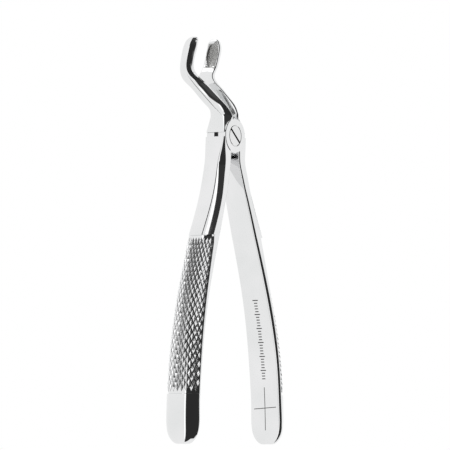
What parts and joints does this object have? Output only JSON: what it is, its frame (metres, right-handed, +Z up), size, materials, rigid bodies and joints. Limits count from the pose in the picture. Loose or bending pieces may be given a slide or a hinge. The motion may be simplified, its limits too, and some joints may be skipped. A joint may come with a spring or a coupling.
{
  "type": "extraction forceps",
  "caption": "Dental extraction forceps for upper molars, with bayonet necks, knurled handles and a flush slotted hinge screw.",
  "frame": {"origin": "where the hinge axis meets the flat front face of the joint, with the handles held open evenly on both sides of the YZ plane", "axes": "+Z up from the handles to the beaks, +X towards the right handle, +Y along the hinge axis from the front face to the back face, the way the necks are cranked"},
  "size_m": [0.0754, 0.026, 0.1739],
  "materials": {
    "front_steel": "mirror-polished stainless steel, knurled outside the grip",
    "back_steel": "mirror-polished stainless steel, knurled outside the grip",
    "screw_steel": "fine-ground stainless steel"
  },
  "bodies": {
    "back_half": {"back_half": "back_steel", "hinge_screw": "screw_steel"},
    "front_half": {"front_half": "front_steel"}
  },
  "joints": [
    {"name": "hinge", "type": "hinge", "parent": "back_half", "child": "front_half", "pos_m": [0, 0.0049, 0], "axis": [0, -1, 0], "range_deg": [-18, 12]}
  ]
}
